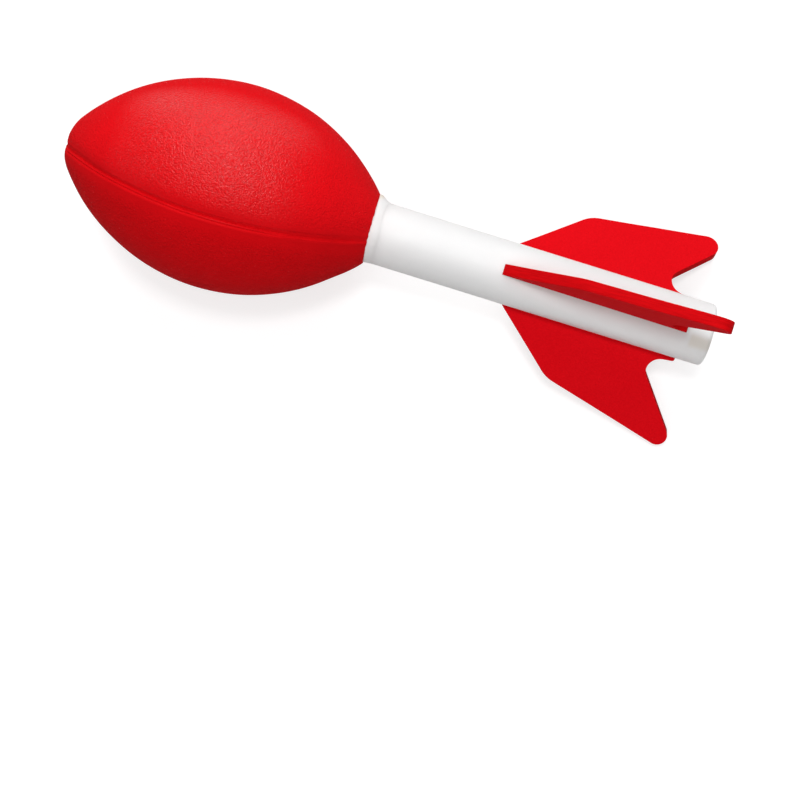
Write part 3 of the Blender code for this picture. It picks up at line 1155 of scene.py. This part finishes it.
@dataclass
class Studio:
    """A pale floor that curves up at its rim, soft light, and the camera at the photograph's angle.

    Attributes:
        frame_pixels: The side of the square picture.
        focal_pixels: The focal length, in pixels of that picture.
        neck_pixel: Where the middle of the foam's rear face shows in it.
        neck_offset: How far behind the foam's rear face that point lies.
        distance: From the camera to that point, along the view.
        slope: How far the tube runs down to the right in the picture.
        roll: How far the ball is rolled about its tube, away from the bottom of the picture.
    """

    frame_pixels: float = 800.0
    focal_pixels: float = 1600.0
    neck_pixel: Point2D = (371.0, 230.5)
    neck_offset: float = 0.0005
    distance: float = 0.35556
    slope: float = math.radians(17.27)
    roll: float = math.radians(2.5)
    sensor: float = 36.0
    clip_factor: float = 100.0
    floor_radius: float = 2.4
    rim_rounding: float = 0.6
    rim_height: float = 0.9
    rim_steps: int = 12
    floor_steps: int = 96
    floor_drop: float = 0.00005
    ambient: float = 0.095

    LAMPS = (
        Softbox("overhead softbox", 0.0, math.radians(56), 0.90, 0.60, 0.57),
        Softbox("small softbox", 0.0, math.radians(10), 0.90, 0.14, 0.325),
        Softbox("fill by the camera", math.radians(180), math.radians(12), 0.90, 0.70, 0.33, shines=False),
        Softbox("low fill", math.radians(180), math.radians(30), 0.90, 0.70, 0.135, shines=False),
        Softbox("left fill", math.radians(-75), math.radians(50), 0.90, 0.60, 0.06, shines=False),
    )

    def build(self, ball: BallFrame) -> None:
        """Builds the floor, the lights and the camera.

        Args:
            ball: The ball's frame.
        """
        axes = self._camera(ball)
        self._floor()
        self._world()
        for lamp in self.LAMPS:
            lamp.build(axes, ball.matrix.to_translation())
        bpy.context.scene.view_settings.view_transform = "Standard"

    def _floor(self) -> None:
        """A large round floor just under the ball, which curves up at its rim."""
        flat = self.floor_radius - self.rim_rounding
        curve = arc_points((flat, self.rim_rounding), self.rim_rounding, -math.pi / 2, 0.0, self.rim_steps)
        profile = [(0.0, 0.0)] + curve + [(self.floor_radius, self.rim_height)]
        sunk = [(along, height - self.floor_drop) for along, height in profile]
        shape = spun(sunk, ((2.0 * math.pi, self.floor_steps),), axis=UP)
        if next(iter(shape.faces)).normal.z < 0.0:
            bmesh.ops.reverse_faces(shape, faces=shape.faces)
        mesh = bpy.data.meshes.new("floor")
        shape.to_mesh(mesh)
        shape.free()
        mesh.shade_smooth()
        mesh.materials.append(PaleFloor().build())
        add_object("floor", mesh)

    def _world(self) -> None:
        """Even white light from all round."""
        world = bpy.data.worlds.new("studio")
        world.use_nodes = True
        bpy.context.scene.world = world
        background = next(node for node in world.node_tree.nodes if node.type == "BACKGROUND")
        background.inputs["Color"].default_value = (1.0, 1.0, 1.0, 1.0)
        background.inputs["Strength"].default_value = self.ambient

    def _camera(self, ball: BallFrame) -> Matrix:
        """Makes the camera, placed so that the foam's rear face shows at its pixel.

        Args:
            ball: The ball's frame.

        Returns:
            The camera's right, up and back directions in the world, as columns.
        """
        turned = Matrix.Rotation(self.roll, 3, "X")
        right = turned @ Vector((math.cos(self.slope), math.sin(self.slope), 0.0))
        up = turned @ Vector((-math.sin(self.slope), math.cos(self.slope), 0.0))
        back = right.cross(up)
        middle = self.frame_pixels / 2
        neck = Vector((self.neck_offset, 0.0, 0.0))
        aside = (self.neck_pixel[0] - middle) / self.focal_pixels * self.distance
        above = (middle - self.neck_pixel[1]) / self.focal_pixels * self.distance
        spot = neck - right * aside - up * above + back * self.distance
        data = bpy.data.cameras.new("camera")
        data.sensor_width = self.sensor
        data.lens = self.sensor * self.focal_pixels / self.frame_pixels
        data.clip_start = self.distance / self.clip_factor
        data.clip_end = self.distance * self.clip_factor
        camera = add_object("camera", data)
        axes = Matrix((right, up, back)).transposed()
        camera.matrix_world = ball.matrix @ Matrix.Translation(spot) @ axes.to_4x4()
        bpy.context.scene.camera = camera
        return ball.matrix.to_3x3() @ axes


def main() -> None:
    """Builds every piece of the football, and the studio round it."""
    logging.basicConfig(level=logging.INFO, format="%(name)s: %(message)s")
    ball = BallFrame.read()
    log.info("tube radius %.4f m, reach %.4f m", ball.tube_radius, ball.tube_reach)
    FoamFootball().build(ball, FoamSkin().build())
    to_ball = ball.matrix.inverted()
    TailTube().build(ball, MilkyPlastic().build(to_ball))
    NeckGlue().build(ball, DriedGlue().build())
    side, cut = FinSheet().build(), FinCutEdge().build()
    fins = (
        Fin(FinPlace.TOP, front=0.0308, tip=(0.0837, 0.0298), tang=(0.0730, 0.0080), thickness=0.0024,
            aside_front=-0.00045, aside_rear=-0.00070),
        Fin(FinPlace.RIGHT, front=0.03197, shoulder=(0.0471, 0.0217), tip=(0.08190, 0.02795),
            notch=(0.06435, 0.0084), notch_rounding=0.0034),
        Fin(FinPlace.LEFT, front=0.0330, shoulder=(0.04784, 0.02097), tip=(0.08241, 0.03064),
            notch=(0.0659, 0.0090), shoulder_rounding=0.0080, tip_rounding=0.0023, bow=0.00080),
    )
    for fin in fins:
        fin.build(ball, side, cut)
    plug = frame["nodes"]["tube_front_plug"]
    plug.data.materials.clear()
    plug.data.materials.append(MilkyPlastic("plug_plastic", base=(0.80, 0.80, 0.79)).build(to_ball))
    log.info("%s: keeps its packed solid", plug.name)
    Studio().build(ball)
    bpy.context.view_layer.update()


if __name__ == "__main__":
    main()
